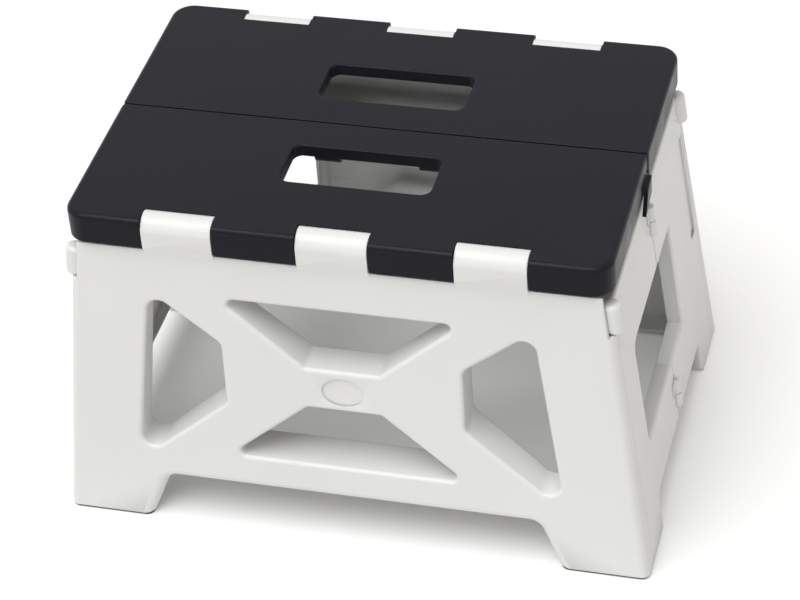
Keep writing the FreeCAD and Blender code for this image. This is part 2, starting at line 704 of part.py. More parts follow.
def leaf_points():
    """The front leaf from outside: half of a frame round the end window."""
    rise = f"cos({LEAN})"
    window_high = f"(stand_height - window_drop) / {rise}"
    return [(f"-{LEAF_EDGE}", "-leaf_arch"), (f"-{LEAF_EDGE} + leaf_foot", "-leaf_arch"),
            (f"-{LEAF_EDGE} + leaf_foot + leaf_slope", f"leaf_arch / {rise}"),
            ("-mid_gap", f"leaf_arch / {rise}"), ("-mid_gap", f"window_low / {rise}"),
            ("-window_half", f"window_low / {rise}"), ("-window_half", window_high),
            ("-mid_gap", window_high), ("-mid_gap", LEAF_TOP), (f"-{LEAF_EDGE}", LEAF_TOP)]


def ground(name, height):
    """Everything below a level plane, seen from the leaning end."""
    item = doc.addObject("Part::Box", name)
    bind(item, Length="6 * leaf_thick", Width=f"2 * {FACE_FOOT}", Height="3 * leaf_arch")
    item.Placement = Placement(Vector(), Rotation(Vector(0, 1, 0), 1))
    item.setExpression("Placement.Rotation.Angle", ref(LEAN))
    drop = f"(({height}) - 3 * leaf_arch)"
    move(item, (f"{drop} * sin({LEAN}) - 3 * leaf_thick * cos({LEAN})", f"-{FACE_FOOT}",
                f"{drop} * cos({LEAN}) + 3 * leaf_thick * sin({LEAN})"))
    return item


def on_leaf_rim(edge):
    """Whether an edge is where the leaf's outer face meets its window, its arch or its top."""
    span = edge.BoundBox
    front = VALUES["top_depth"] / 2 - VALUES["axis_drop"] + VALUES["leaf_lip"]
    on_face = abs(span.XMin) < 0.01 and abs(span.XMax) < 0.01
    crosses = span.YMax > 0.01 - front and span.YMin < -0.01 - VALUES["mid_gap"]
    return on_face and crosses and span.ZMax > 0.01 - VALUES["leaf_arch"]


def leaf_shell():
    """The front leaf as an open-backed frame standing on its foot."""
    face = hollowed("leaf_rim", outline("leaf_sketch", leaf_points(), SIDEWAYS), "leaf_round")
    block = fillet("leaf_eased", extrude("leaf_block", face, (-1, 0, 0), "leaf_thick"), VALUES["leaf_edge"],
                   on_leaf_rim)
    deep_sketch = outline("leaf_deep_sketch", leaf_points(), SIDEWAYS, ("-leaf_skin", "0", "0"))
    deep = hollowed("leaf_deep", deep_sketch, "leaf_round")
    inner = offset("leaf_inner", deep, "-leaf_wall", "Intersection")
    hollow = extrude("leaf_hollow", inner, (-1, 0, 0), "leaf_thick")
    cavity = cut("leaf_cavity", hollow, [ground("leaf_sole", "pad + leaf_wall")])
    return cut("leaf_frame", block, [cavity, ground("leaf_ground", "pad")])


def leaf_body():
    """The front leaf with its corner lugs and hinge boss, before the middle hinge."""
    lugs, room = [], []
    near = "(ear_length / 2 + side_gap)"
    for name, place in EARS.items():
        spans = {"over": (f"{place} + {near}", f"{place} + {near} + leaf_lug"),
                 "under": (f"{place} - {near} - leaf_lug", f"{place} - {near}")}
        for side, span in spans.items():
            lugs.append(post(f"{name}_lug_{side}", "ear_radius", corner_axis(), *span))
            lugs.append(box(f"{name}_root_{side}", (f"-{LEAF_AXIS}", f"-{LEAF_EDGE}", span[0]),
                            ("-leaf_skin / 2", f"-{AXIS_Y} + ear_radius", span[1])))
        room.append(post(f"{name}_room", "ear_radius + swing_gap", corner_axis(),
                         f"{place} - {near}", f"{place} + {near}"))
    boss = post("boss", "boss_radius", ("boss_proud - boss_radius", f"-{AXIS_Y}"),
                f"{LEAF_TOP} - boss_length", LEAF_TOP)
    soft = fillet("boss_soft", boss, VALUES["boss_round"], lambda edge: len(edge.Vertexes) == 1)
    bore = post("leaf_bore", "pin_radius + pin_fit", corner_axis(), "0", f"{LEAF_TOP} + 1")
    return cut("leaf_cornered", fuse("leaf_lugged", [leaf_shell(), soft, *lugs]), [*room, bore])


def rear_body(body):
    """The rear leaf before its middle hinge: the front leaf's mirror image with a wide post and a slot."""
    rise = f"cos({LEAN})"
    low, high = f"window_low / {rise} - leaf_wall", f"(stand_height - window_drop) / {rise} + leaf_wall"
    skin = box("post_skin", ("-leaf_skin", "post_near", low), ("0", "window_half + leaf_wall", high))
    wall = box("post_wall", ("-leaf_thick", "post_near", low), ("0", "post_near + leaf_wall", high))
    post_soft = fillet("post_soft", fuse("post", [skin, wall]), VALUES["leaf_edge"], on_post_rim)
    top, side = f"{LEAF_TOP} - slot_drop", f"{LEAF_EDGE} - slot_inset"
    slot = box("leaf_slot", ("-slot_depth", f"{side} - slot_width", f"{top} - slot_length"), ("1", side, top))
    mirror = mirrored("leaf_back_body", body, (0, 1, 0))
    return cut("leaf_back_slotted", fuse("leaf_back_posted", [mirror, post_soft]), [slot])


def on_post_rim(edge):
    """Whether an edge is where the rear leaf's outer face meets the side of its post at the window."""
    span = edge.BoundBox
    return abs(span.XMin) < 0.01 and abs(span.XMax) < 0.01 and abs(span.YMax - VALUES["post_near"]) < 0.01


def middle_hinge(name, body, web, own, other):
    """Add one leaf's barrels at the middle of the end, and room for the other leaf's."""
    barrels, room = [], []
    for level, place in BARRELS.items():
        low, high = own(place)
        barrels.append(post(f"{name}_{level}", "barrel_radius", ("centre_proud", "0"), low, high))
        barrels.append(box(f"{name}_{level}_web", ("centre_proud - barrel_radius", web[0], low),
                           ("centre_proud", web[1], high)))
        low, high = other(place)
        room.append(post(f"{name}_{level}_room", "barrel_radius + swing_gap", ("centre_proud", "0"),
                         f"{low} - side_gap", f"{high} + side_gap"))
    bore = post(f"{name}_pin_bore", "barrel_pin + pin_fit", ("centre_proud", "0"), "0", LEAF_TOP)
    cleared = cut(f"{name}_cleared", body, room)
    return seat_on_end(cut(name, fuse(f"{name}_barrelled", [cleared, *barrels]), [bore]))


def upper(place):
    """The span of the upper barrel of a pair."""
    return f"{place} + side_gap / 2", f"{place} + side_gap / 2 + barrel_length"


def lower(place):
    """The span of the lower barrel of a pair."""
    return f"{place} - side_gap / 2 - barrel_length", f"{place} - side_gap / 2"


def build_leaves():
    """Four leaves, their middle pins and their rubber feet."""
    body = leaf_body()
    web = "(barrel_radius + barrel_web)"
    front = middle_hinge("leaf_front", body, (f"-{web}", "0"), upper, lower)
    rear = middle_hinge("leaf_rear", rear_body(body), ("0", web), lower, upper)
    reach = "(side_gap / 2 + barrel_length)"
    pins = seat_on_end(group("middle_pins", [
        post(f"{level}_pin", "barrel_pin", ("centre_proud", "0"), f"{place} - {reach}", f"{place} + {reach}")
        for level, place in BARRELS.items()]))
    pad = box("leaf_pad", (f"{END_PAD} - leaf_thick + pad_inset / 2", f"-{LEAF_EDGE} + pad_inset", "0"),
              (f"{END_PAD} - pad_inset / 2", f"-{LEAF_EDGE} + leaf_foot - pad_inset", "pad"))
    pad_rear = mirrored("leaf_pad_rear", pad, (0, 1, 0))
    return {"right_front_leaf": front,
            "right_rear_leaf": rear,
            "left_rear_leaf": group("leaf_left_rear", [front], HALF_TURN),
            "left_front_leaf": group("leaf_left_front", [rear], HALF_TURN),
            "right_leaf_pins": pins,
            "left_leaf_pins": group("middle_pins_left", [pins], HALF_TURN),
            "right_front_leaf_pad": pad,
            "right_rear_leaf_pad": pad_rear,
            "left_rear_leaf_pad": group("leaf_pad_left_rear", [pad], HALF_TURN),
            "left_front_leaf_pad": group("leaf_pad_left_front", [pad_rear], HALF_TURN)}


def check(nodes):
    """Stop if any object failed or any sub-part has no sound solid."""
    failed = [item.Name for item in doc.Objects if {"Invalid", "Error"} & set(item.State)]
    if failed:
        raise RuntimeError(f"failed objects: {failed}")
    for name, item in nodes.items():
        if item.Shape.isNull() or not item.Shape.isValid() or not item.Shape.Solids:
            raise RuntimeError(f"unsound shape: {name}")


def main():
    make_sheet()
    nodes = {**build_tread(), **build_panels(), **build_leaves()}
    for name, item in nodes.items():
        item.Label = name
    doc.recompute()
    check(nodes)
    os.makedirs("parts", exist_ok=True)
    for name, item in nodes.items():
        item.Shape.exportStep(f"parts/{item.Label}.step")
        span = item.Shape.BoundBox
        print(f"{name}: {len(item.Shape.Solids)} solid(s), {item.Shape.Volume / 1000:.2f} cm3, "
              f"z {span.ZMin:.2f} to {span.ZMax:.2f}")


main()
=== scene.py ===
"""Looks of the folding step stool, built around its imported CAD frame.

Metres, in the frame of the CAD: the origin on the floor, +Z up, the front panel towards -Y.
"""
import json
import math

import bmesh
import bpy
from mathutils import Euler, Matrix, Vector


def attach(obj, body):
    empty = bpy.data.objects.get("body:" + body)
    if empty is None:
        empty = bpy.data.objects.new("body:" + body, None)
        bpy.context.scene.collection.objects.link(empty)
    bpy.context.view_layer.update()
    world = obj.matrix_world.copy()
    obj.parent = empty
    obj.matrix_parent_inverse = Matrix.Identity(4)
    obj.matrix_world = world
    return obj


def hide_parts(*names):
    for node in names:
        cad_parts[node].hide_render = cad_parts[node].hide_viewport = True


bl_info = {
    "name": "Folding step stool",
    "version": (1, 0, 0),
    "blender": (4, 5, 0),
    "location": "3D View > Sidebar > Stool",
    "description": "Dresses a folding step stool of moulded plastic and sets it on a studio floor",
    "category": "Object",
}

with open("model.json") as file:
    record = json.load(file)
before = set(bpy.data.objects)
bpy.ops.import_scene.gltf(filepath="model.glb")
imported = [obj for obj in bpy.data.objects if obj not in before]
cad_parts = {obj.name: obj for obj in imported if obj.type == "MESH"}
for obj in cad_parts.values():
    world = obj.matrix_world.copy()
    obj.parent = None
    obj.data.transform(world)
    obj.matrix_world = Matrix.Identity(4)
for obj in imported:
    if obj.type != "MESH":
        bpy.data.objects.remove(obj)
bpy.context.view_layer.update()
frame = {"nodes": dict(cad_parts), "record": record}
MM = 0.001

# The ends, in millimetres: where they stand, how far they lean in over their rise, and their height
END_FOOT = 170.0
END_LEAN_IN = 22.0
END_RISE = 188.5
LEAF_HEIGHT = 182.0
LEAN = math.atan(END_LEAN_IN / END_RISE)
LEAF_TOP = LEAF_HEIGHT / math.cos(LEAN)

TREAD_HALVES = {"top_front": "tread_front_half", "top_rear": "tread_rear_half"}
PANELS = {"front_panel": "front_panel_shell", "rear_panel": "rear_panel_shell"}
LEAVES = ("right_front_leaf", "right_rear_leaf", "left_front_leaf", "left_rear_leaf")
RODS = ("front_hinge_rod", "rear_hinge_rod", "centre_hinge_rod")
PINS = ("front_right_corner_pins", "front_left_corner_pins", "rear_left_corner_pins",
        "rear_right_corner_pins", "right_leaf_pins", "left_leaf_pins")

# Places and sizes of the repeated details, in millimetres
TREAD_RIBS = (-133.0, -103.0, -88.0, -73.0, 73.0, 88.0, 103.0, 133.0)
TREAD_RIB_NEAR, TREAD_RIB_FAR = 13.0, 70.0
TREAD_UNDERSIDE = 206.3
PANEL_RIBS = tuple(range(-90, 91, 15))
PANEL_RIB_Y, PANEL_RIB_Z = -102.6, 42.0
PANEL_RIB_DEPTH, PANEL_RIB_HEIGHT = 10.8, 17.6
HEAD_INSET = 84.0
HEAD_DROPS = (8.0, 20.0)
HEAD_SEGMENTS, HEAD_RINGS = 24, 12

# Fixed values of the finishes and the stage
EDGE_SAMPLES = 6
EDGE_TURN = (0.85, 0.995)
PAPER_ROUGHNESS = 0.9
WHITE = (1.0, 1.0, 1.0, 1.0)
FLOOR_HALF = 6.0
FILM_WIDTH = 36.0
NEAR_CLIP = 0.01


def body_of_node(node):
    """The CAD body that carries a node."""
    bodies = frame["record"]["behaviour"]["bodies"]
    return next(body for body, members in bodies.items() if node in members)


# Settings that a user would change


def length(name, description, default):
    """A length property, written in millimetres."""
    return bpy.props.FloatProperty(name=name, description=description, default=default * MM,
                                   min=0.0, precision=5, unit="LENGTH", subtype="DISTANCE")


def colour(name, description, default):
    """A colour property."""
    return bpy.props.FloatVectorProperty(name=name, description=description, default=default,
                                         size=3, min=0.0, max=1.0, subtype="COLOR")


def share(name, description, default, top=1.0):
    """A plain number from 0 to top."""
    return bpy.props.FloatProperty(name=name, description=description, default=default,
                                   min=0.0, max=top)


class StoolTreadSettings(bpy.types.PropertyGroup):
    """Sizes and colours of the tread."""
    plastic: colour("Plastic", "Colour of the tread plastic", (0.0092, 0.0096, 0.0136))
    sheen: share("Roughness", "Roughness of the tread plastic", 0.34)
    gloss: share("Gloss", "Strength of the tread's reflections", 0.12)
    edge: length("Edge round", "Rounding that the tread's sharp edges show", 0.6)
    rib_wall: length("Rib wall", "Thickness of the fine ribs under the tread", 1.4)
    rib_drop: length("Rib drop", "Depth of the fine ribs under the tread", 7.0)


class StoolFrameSettings(bpy.types.PropertyGroup):
    """Sizes and colours of the panels and the end leaves."""
    plastic: colour("Plastic", "Colour of the frame plastic", (0.765, 0.765, 0.755))
    sheen: share("Roughness", "Roughness of the frame plastic", 0.38)
    edge: length("Edge round", "Rounding that the frame's sharp edges show", 0.9)
    rib_wall: length("Rib wall", "Thickness of the ribs inside the panels", 1.6)


class StoolHingeSettings(bpy.types.PropertyGroup):
    """Sizes and colours of the rods and pins."""
    steel: colour("Steel", "Colour of the hinge steel", (0.56, 0.56, 0.57))
    head: length("Pin head", "Radius of the pin heads on the end leaves", 1.5)
    head_proud: length("Pin head height", "How far the pin heads stand out", 0.7)


class StoolFootSettings(bpy.types.PropertyGroup):
    """Sizes and colours of the rubber feet."""
    rubber: colour("Rubber", "Colour of the foot rubber", (0.022, 0.022, 0.023))


class StoolStageSettings(bpy.types.PropertyGroup):
    """Floor, light and camera."""
    floor: colour("Floor", "Colour of the studio floor", (0.88, 0.88, 0.88))
    glow: share("Floor glow", "How far the floor is lifted to white for the camera", 0.12)
    ambient: share("Surround", "Strength of the light from all around", 0.38, 10.0)
    ambient_tint: colour("Surround tint", "Colour of the light from all around", (1.0, 0.96, 0.89))
    key: share("Key light", "Strength of the wide soft light above the stool", 2.5, 20.0)
    key_tint: colour("Key tint", "Colour of the key light", (0.98, 0.99, 1.0))
    key_spread: bpy.props.FloatProperty(
        name="Key spread", description="How wide the key light looks from the floor",
        default=math.radians(50.0), min=0.0, unit="ROTATION", subtype="ANGLE")
    key_from: bpy.props.FloatVectorProperty(
        name="Key from", description="Direction that the key light comes from",
        default=(-0.16, -0.34, 0.93), subtype="DIRECTION")
    camera_place: bpy.props.FloatVectorProperty(
        name="Camera place", description="Where the camera stands",
        default=(0.37872, -1.22314, 1.11524), subtype="TRANSLATION", unit="LENGTH")
    camera_turn: bpy.props.FloatVectorProperty(
        name="Camera turn", description="How the camera is turned",
        default=tuple(math.radians(angle) for angle in (51.1167, 3.6875, 14.4029)),
        subtype="EULER", unit="ROTATION")
    camera_lens: bpy.props.FloatProperty(
        name="Lens", description="Focal length on a 36 mm frame", default=127.858, min=1.0)
    camera_shift: bpy.props.FloatVectorProperty(
        name="Shift", description="Shift of the picture's middle", size=2,
        default=(0.0168, 0.0011))


# Materials


class NodeSheet:
    """A material's node tree with short ways to add and join nodes."""

    def __init__(self, name):
        self.material = bpy.data.materials.new(name)
        self.material.use_nodes = True
        self.nodes = self.material.node_tree.nodes
        self.links = self.material.node_tree.links
        self.shader = self.nodes["Principled BSDF"]
        self.coordinates = self.nodes.new("ShaderNodeTexCoord").outputs["Object"]

    def join(self, source, target):
        """Link an output to an input."""
        self.links.new(source, target)

    def noise(self, scale, detail=2.0, roughness=0.5, stretch=None):
        """Noise on the object's own coordinates, stretched where asked."""
        node = self.nodes.new("ShaderNodeTexNoise")
        node.inputs["Scale"].default_value = scale
        node.inputs["Detail"].default_value = detail
        node.inputs["Roughness"].default_value = roughness
        source = self.coordinates
        if stretch:
            mapping = self.nodes.new("ShaderNodeMapping")
            mapping.inputs["Scale"].default_value = stretch
            self.join(source, mapping.inputs["Vector"])
            source = mapping.outputs["Vector"]
        self.join(source, node.inputs["Vector"])
        return node.outputs["Fac"]

    def remap(self, value, low, high, start=0.3, stop=0.7):
        """A value taken from start..stop to low..high."""
        node = self.nodes.new("ShaderNodeMapRange")
        ends = {"From Min": start, "From Max": stop, "To Min": low, "To Max": high}
        for name, number in ends.items():
            node.inputs[name].default_value = number
        self.join(value, node.inputs["Value"])
        return node.outputs["Result"]

    def tint(self, value, dark, light):
        """A colour between two, by a value; the dark one may come from a node."""
        node = self.nodes.new("ShaderNodeMix")
        node.data_type = "RGBA"
        low, high = (socket for socket in node.inputs if socket.type == "RGBA")
        if isinstance(dark, bpy.types.NodeSocket):
            self.join(dark, low)
        else:
            low.default_value = (*dark, 1.0)
        high.default_value = (*light, 1.0)
        self.join(value, node.inputs["Factor"])
        return next(socket for socket in node.outputs if socket.type == "RGBA")

    def bump(self, height, distance, strength=1.0, before=None):
        """A bump from a height, laid over an earlier one."""
        node = self.nodes.new("ShaderNodeBump")
        node.inputs["Distance"].default_value = distance
        node.inputs["Strength"].default_value = strength
        self.join(height, node.inputs["Height"])
        if before:
            self.join(before, node.inputs["Normal"])
        return node.outputs["Normal"]

    def soft_edges(self, radius):
        """Normals that run round sharp edges, and a value that is one where they turn."""
        bevel = self.nodes.new("ShaderNodeBevel")
        bevel.samples = EDGE_SAMPLES
        bevel.inputs["Radius"].default_value = radius
        turn = self.nodes.new("ShaderNodeVectorMath")
        turn.operation = "DOT_PRODUCT"
        self.join(bevel.outputs["Normal"], turn.inputs[0])
        self.join(self.nodes.new("ShaderNodeNewGeometry").outputs["Normal"], turn.inputs[1])
        return bevel.outputs["Normal"], self.remap(turn.outputs["Value"], 1.0, 0.0, *EDGE_TURN)

    def product(self, first, second):
        """Two values multiplied."""
        node = self.nodes.new("ShaderNodeMath")
        node.operation = "MULTIPLY"
        self.join(first, node.inputs[0])
        self.join(second, node.inputs[1])
        return node.outputs[0]


def shaded(base, factor):
    """A colour made darker or lighter."""
    return tuple(min(1.0, channel * factor) for channel in base)


def tread_plastic():
    """Dark satin plastic with a fine spark-eroded grain; its edges are lightened in patches, partly
    as wear and partly as a painted highlight.
    """
    look = bpy.context.scene.stool_tread
    sheet = NodeSheet("tread_plastic")
    soft, edge = sheet.soft_edges(look.edge)
    cloud = sheet.remap(sheet.noise(scale=14.0, detail=3.0), low=0.0, high=1.0)
    plain = sheet.tint(cloud, shaded(look.plastic, 0.92), shaded(look.plastic, 1.08))
    patch_noise = sheet.noise(scale=210.0, detail=4.0, roughness=0.6)
    # Lighter in patches along the edges: partly wear, partly a painted highlight where the rounded
    # edges would catch the light.
    wear_and_edge_highlight = sheet.product(edge, sheet.remap(patch_noise, low=0.1, high=0.7, start=0.4, stop=0.65))
    sheet.join(sheet.tint(wear_and_edge_highlight, plain, shaded(look.plastic, 3.0)),
               sheet.shader.inputs["Base Color"])
    rough = sheet.remap(sheet.noise(scale=60.0, detail=4.0),
                        low=look.sheen - 0.04, high=look.sheen + 0.05)
    sheet.join(rough, sheet.shader.inputs["Roughness"])
    grain = sheet.bump(sheet.noise(scale=1500.0, roughness=0.6),
                       distance=0.00005, strength=0.5, before=soft)
    waves = sheet.bump(sheet.noise(scale=9.0), distance=0.0003, strength=0.15, before=grain)
    sheet.join(waves, sheet.shader.inputs["Normal"])
    sheet.shader.inputs["Specular IOR Level"].default_value = look.gloss
    return sheet.material


def frame_plastic():
    """White satin plastic with faint flow clouds and a fine grain, a little darker in patches along
    its edges and creases.
    """
    look = bpy.context.scene.stool_frame
    sheet = NodeSheet("frame_plastic")
    soft, edge = sheet.soft_edges(look.edge)
    cloud = sheet.remap(sheet.noise(scale=11.0, detail=3.0, stretch=(1.0, 1.0, 0.4)),
                        low=0.0, high=1.0)
    plain = sheet.tint(cloud, shaded(look.plastic, 0.98), shaded(look.plastic, 1.015))
    patch_noise = sheet.noise(scale=180.0, detail=4.0, roughness=0.6)
    # A little darker in noisy patches along the edges and creases.
    darker_edge_patches = sheet.product(edge, sheet.remap(patch_noise, low=0.0, high=0.5, start=0.45, stop=0.7))
    sheet.join(sheet.tint(darker_edge_patches, plain, shaded(look.plastic, 0.94)),
               sheet.shader.inputs["Base Color"])
    rough = sheet.remap(sheet.noise(scale=45.0, detail=4.0),
                        low=look.sheen - 0.05, high=look.sheen + 0.06)
    sheet.join(rough, sheet.shader.inputs["Roughness"])
    grain = sheet.bump(sheet.noise(scale=1300.0, roughness=0.6),
                       distance=0.00004, strength=0.4, before=soft)
    waves = sheet.bump(sheet.noise(scale=16.0), distance=0.0002, strength=0.15, before=grain)
    sheet.join(waves, sheet.shader.inputs["Normal"])
    return sheet.material


def hinge_steel():
    """Drawn steel with fine lines along the rod."""
    look = bpy.context.scene.stool_hinge
    sheet = NodeSheet("hinge_steel")
    lines = sheet.noise(scale=900.0, detail=3.0, roughness=0.6, stretch=(0.03, 1.0, 0.03))
    streaks = sheet.remap(lines, low=0.0, high=1.0)
    sheet.join(sheet.tint(streaks, shaded(look.steel, 0.86), shaded(look.steel, 1.08)),
               sheet.shader.inputs["Base Color"])
    sheet.join(sheet.remap(lines, low=0.24, high=0.42), sheet.shader.inputs["Roughness"])
    sheet.join(sheet.bump(lines, distance=0.00003, strength=0.5), sheet.shader.inputs["Normal"])
    sheet.shader.inputs["Metallic"].default_value = 1.0
    return sheet.material


def foot_rubber():
    """Dull black rubber with a dusty bloom."""
    look = bpy.context.scene.stool_foot
    sheet = NodeSheet("foot_rubber")
    bloom = sheet.remap(sheet.noise(scale=120.0, detail=4.0), low=0.0, high=1.0)
    sheet.join(sheet.tint(bloom, shaded(look.rubber, 0.85), shaded(look.rubber, 1.5)),
               sheet.shader.inputs["Base Color"])
    sheet.join(sheet.remap(bloom, low=0.72, high=0.88, start=0.0, stop=1.0),
               sheet.shader.inputs["Roughness"])
    sheet.join(sheet.bump(sheet.noise(scale=1100.0), distance=0.00008, strength=0.7),
               sheet.shader.inputs["Normal"])
    return sheet.material


def finish_of(maker):
    """The material that a maker gives, made once."""
    return bpy.data.materials.get(maker.__name__) or maker()


# Shapes

MERGE = 1e-6
CREASE = math.radians(32.0)


def link(name, mesh):
    """A new object in the scene for a mesh."""
    piece = bpy.data.objects.new(name, mesh)
    bpy.context.scene.collection.objects.link(piece)
    return piece


def settled(piece):
    """Turn what a piece's modifiers give into its plain mesh."""
    graph = bpy.context.evaluated_depsgraph_get()
    result = bpy.data.meshes.new_from_object(piece.evaluated_get(graph))
    piece.modifiers.clear()
    piece.data = result
    return piece


def smoothed(node, name, material):
    """A copy of a CAD node whose rounded faces shade smoothly, standing for the node."""
    mesh = frame["nodes"][node].data.copy()
    mesh.name = name
    work = bmesh.new()
    work.from_mesh(mesh)
    bmesh.ops.remove_doubles(work, verts=work.verts, dist=MERGE)
    for face in work.faces:
        face.smooth = True
    work.to_mesh(mesh)
    work.free()
    mesh.set_sharp_from_angle(angle=CREASE)
    mesh.materials.clear()
    mesh.materials.append(material)
    piece = link(name, mesh)
    normals = piece.modifiers.new("flat_faces_first", "WEIGHTED_NORMAL")
    normals.mode = "FACE_AREA"
    normals.keep_sharp = True
    settled(piece)
    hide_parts(node)
    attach(piece, body_of_node(node))


def joined(nodes, links, *names):
    """Geometry nodes that follow each other, by their kinds."""
    made = [nodes.new(name) for name in names]
    for first, second in zip(made, made[1:]):
        links.new(first.outputs[0], second.inputs[0])
    return made


def repeat_tree(name, kinds, shape):
    """Geometry nodes that set one shape on every point of a piece."""
    tree = bpy.data.node_groups.new(name, "GeometryNodeTree")
    tree.interface.new_socket("Points", in_out="INPUT", socket_type="NodeSocketGeometry")
    for label, kind in {**kinds, "Finish": "NodeSocketMaterial"}.items():
        tree.interface.new_socket(label, in_out="INPUT", socket_type=kind)
    tree.interface.new_socket("Pieces", in_out="OUTPUT", socket_type="NodeSocketGeometry")
    nodes, links = tree.nodes, tree.links
    given = nodes.new("NodeGroupInput")
    spread, place, _, finish, _ = joined(
        nodes, links, "GeometryNodeMeshToPoints", "GeometryNodeInstanceOnPoints",
        "GeometryNodeRealizeInstances", "GeometryNodeSetMaterial", "NodeGroupOutput")
    links.new(given.outputs["Points"], spread.inputs[0])
    links.new(given.outputs["Finish"], finish.inputs["Material"])
    links.new(shape(nodes, links, given), place.inputs["Instance"])
    return tree


def rib_shape(nodes, links, given):
    """A flat rib of a given size."""
    bar = nodes.new("GeometryNodeMeshCube")
    links.new(given.outputs["Size"], bar.inputs["Size"])
    return bar.outputs["Mesh"]


def head_shape(nodes, links, given):
    """A low domed pin head, tilted with the end of the stool."""
    dome = nodes.new("GeometryNodeMeshUVSphere")
    dome.inputs["Segments"].default_value = HEAD_SEGMENTS
    dome.inputs["Rings"].default_value = HEAD_RINGS
    dome.inputs["Radius"].default_value = 1.0
    shade = nodes.new("GeometryNodeSetShadeSmooth")
    turn = nodes.new("GeometryNodeTransform")
    links.new(dome.outputs["Mesh"], shade.inputs[0])
    links.new(shade.outputs[0], turn.inputs["Geometry"])
    links.new(given.outputs["Turn"], turn.inputs["Rotation"])
    links.new(given.outputs["Size"], turn.inputs["Scale"])
    return turn.outputs["Geometry"]


TREES = {"ribs": ({"Size": "NodeSocketVector"}, rib_shape),
         "pin_heads": ({"Size": "NodeSocketVector", "Turn": "NodeSocketRotation"}, head_shape)}


def repeated(name, tree_name, points, body, slot, **inputs):
    """A piece made of one shape on each of many points, riding on a body."""
    tree = bpy.data.node_groups.get(tree_name) or repeat_tree(tree_name, *TREES[tree_name])
    mesh = bpy.data.meshes.new(name)
    mesh.from_pydata([tuple(value * MM for value in point) for point in points], [], [])
    piece = link(name, mesh)
    modifier = piece.modifiers.new(tree_name, "NODES")
    modifier.node_group = tree
    for item in tree.interface.items_tree:
        if item.in_out == "INPUT" and item.name in inputs:
            modifier[item.identifier] = inputs[item.name]
    settled(piece)
    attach(piece, body)


def both_halves(points):
    """Points of the front half of the stool, and the same turned half round."""
    return points, [(-x, -y, z) for x, y, z in points]


def dress(node, material):
    """Give a CAD node that stays in view its finish."""
    mesh = frame["nodes"][node].data
    mesh.materials.clear()
    mesh.materials.append(material)


# Operators


class StoolTread(bpy.types.Operator):
    """Make the two tread halves"""
    bl_idname = "stool.tread"
    bl_label = "Tread halves"

    def execute(self, context):
        for node, name in TREAD_HALVES.items():
            smoothed(node, name, finish_of(tread_plastic))
        return {"FINISHED"}


class StoolTreadRibs(bpy.types.Operator):
    """Make the fine ribs under the tread halves"""
    bl_idname = "stool.tread_ribs"
    bl_label = "Tread ribs"

    def execute(self, context):
        look = context.scene.stool_tread
        middle = -(TREAD_RIB_NEAR + TREAD_RIB_FAR) / 2
        level = TREAD_UNDERSIDE - look.rib_drop / MM / 2
        points = [(x, middle, level) for x in TREAD_RIBS]
        size = (look.rib_wall, (TREAD_RIB_FAR - TREAD_RIB_NEAR) * MM, look.rib_drop)
        for (body, name), places in zip(TREAD_HALVES.items(), both_halves(points)):
            repeated(f"{name}_ribs", "ribs", places, body, "tread", Size=size,
                     Finish=finish_of(tread_plastic))
        return {"FINISHED"}


class StoolPanels(bpy.types.Operator):
    """Make the front and rear panels"""
    bl_idname = "stool.panels"
    bl_label = "Panels"

    def execute(self, context):
        for node, name in PANELS.items():
            smoothed(node, name, finish_of(frame_plastic))
        return {"FINISHED"}


class StoolPanelRibs(bpy.types.Operator):
    """Make the ribs inside the panels' lower beams"""
    bl_idname = "stool.panel_ribs"
    bl_label = "Panel ribs"

    def execute(self, context):
        look = context.scene.stool_frame
        points = [(x, PANEL_RIB_Y, PANEL_RIB_Z) for x in PANEL_RIBS]
        size = (look.rib_wall, PANEL_RIB_DEPTH * MM, PANEL_RIB_HEIGHT * MM)
        for (body, name), places in zip(PANELS.items(), both_halves(points)):
            repeated(f"{name}_ribs", "ribs", places, body, "frame", Size=size,
                     Finish=finish_of(frame_plastic))
        return {"FINISHED"}


class StoolLeaves(bpy.types.Operator):
    """Make the four end leaves"""
    bl_idname = "stool.leaves"
    bl_label = "End leaves"

    def execute(self, context):
        for node in LEAVES:
            smoothed(node, f"{node}_shell", finish_of(frame_plastic))
        return {"FINISHED"}


class StoolHinges(bpy.types.Operator):
    """Finish the rods and pins"""
    bl_idname = "stool.hinges"
    bl_label = "Rods and pins"

    def execute(self, context):
        look = context.scene.stool_hinge
        for node in RODS + PINS:
            dress(node, finish_of(hinge_steel))
        for body in LEAVES:
            side = 1 if body.startswith("right") else -1
            along = HEAD_INSET if "rear" in body else -HEAD_INSET
            points = [(side * (END_FOOT - up * math.sin(LEAN)), along, up * math.cos(LEAN))
                      for up in (LEAF_TOP - drop for drop in HEAD_DROPS)]
            repeated(f"{body}_pin_heads", "pin_heads", points, body, "hinge_steel",
                     Size=(look.head_proud, look.head, look.head), Turn=(0.0, -side * LEAN, 0.0),
                     Finish=finish_of(hinge_steel))
        return {"FINISHED"}


class StoolFeet(bpy.types.Operator):
    """Finish the rubber feet"""
    bl_idname = "stool.feet"
    bl_label = "Rubber feet"

    def execute(self, context):
        for node in frame["nodes"]:
            if node.endswith("_pad"):
                dress(node, finish_of(foot_rubber))
        return {"FINISHED"}


def seen_directly(nodes, links):
    """One where the camera sees a surface straight, in a mirror or through glass."""
    path = nodes.new("ShaderNodeLightPath")
    total = path.outputs["Is Camera Ray"]
    for name in ("Is Glossy Ray", "Is Transmission Ray"):
        both = nodes.new("ShaderNodeMath")
        both.operation = "MAXIMUM"
        links.new(total, both.inputs[0])
        links.new(path.outputs[name], both.inputs[1])
        total = both.outputs[0]
    return total


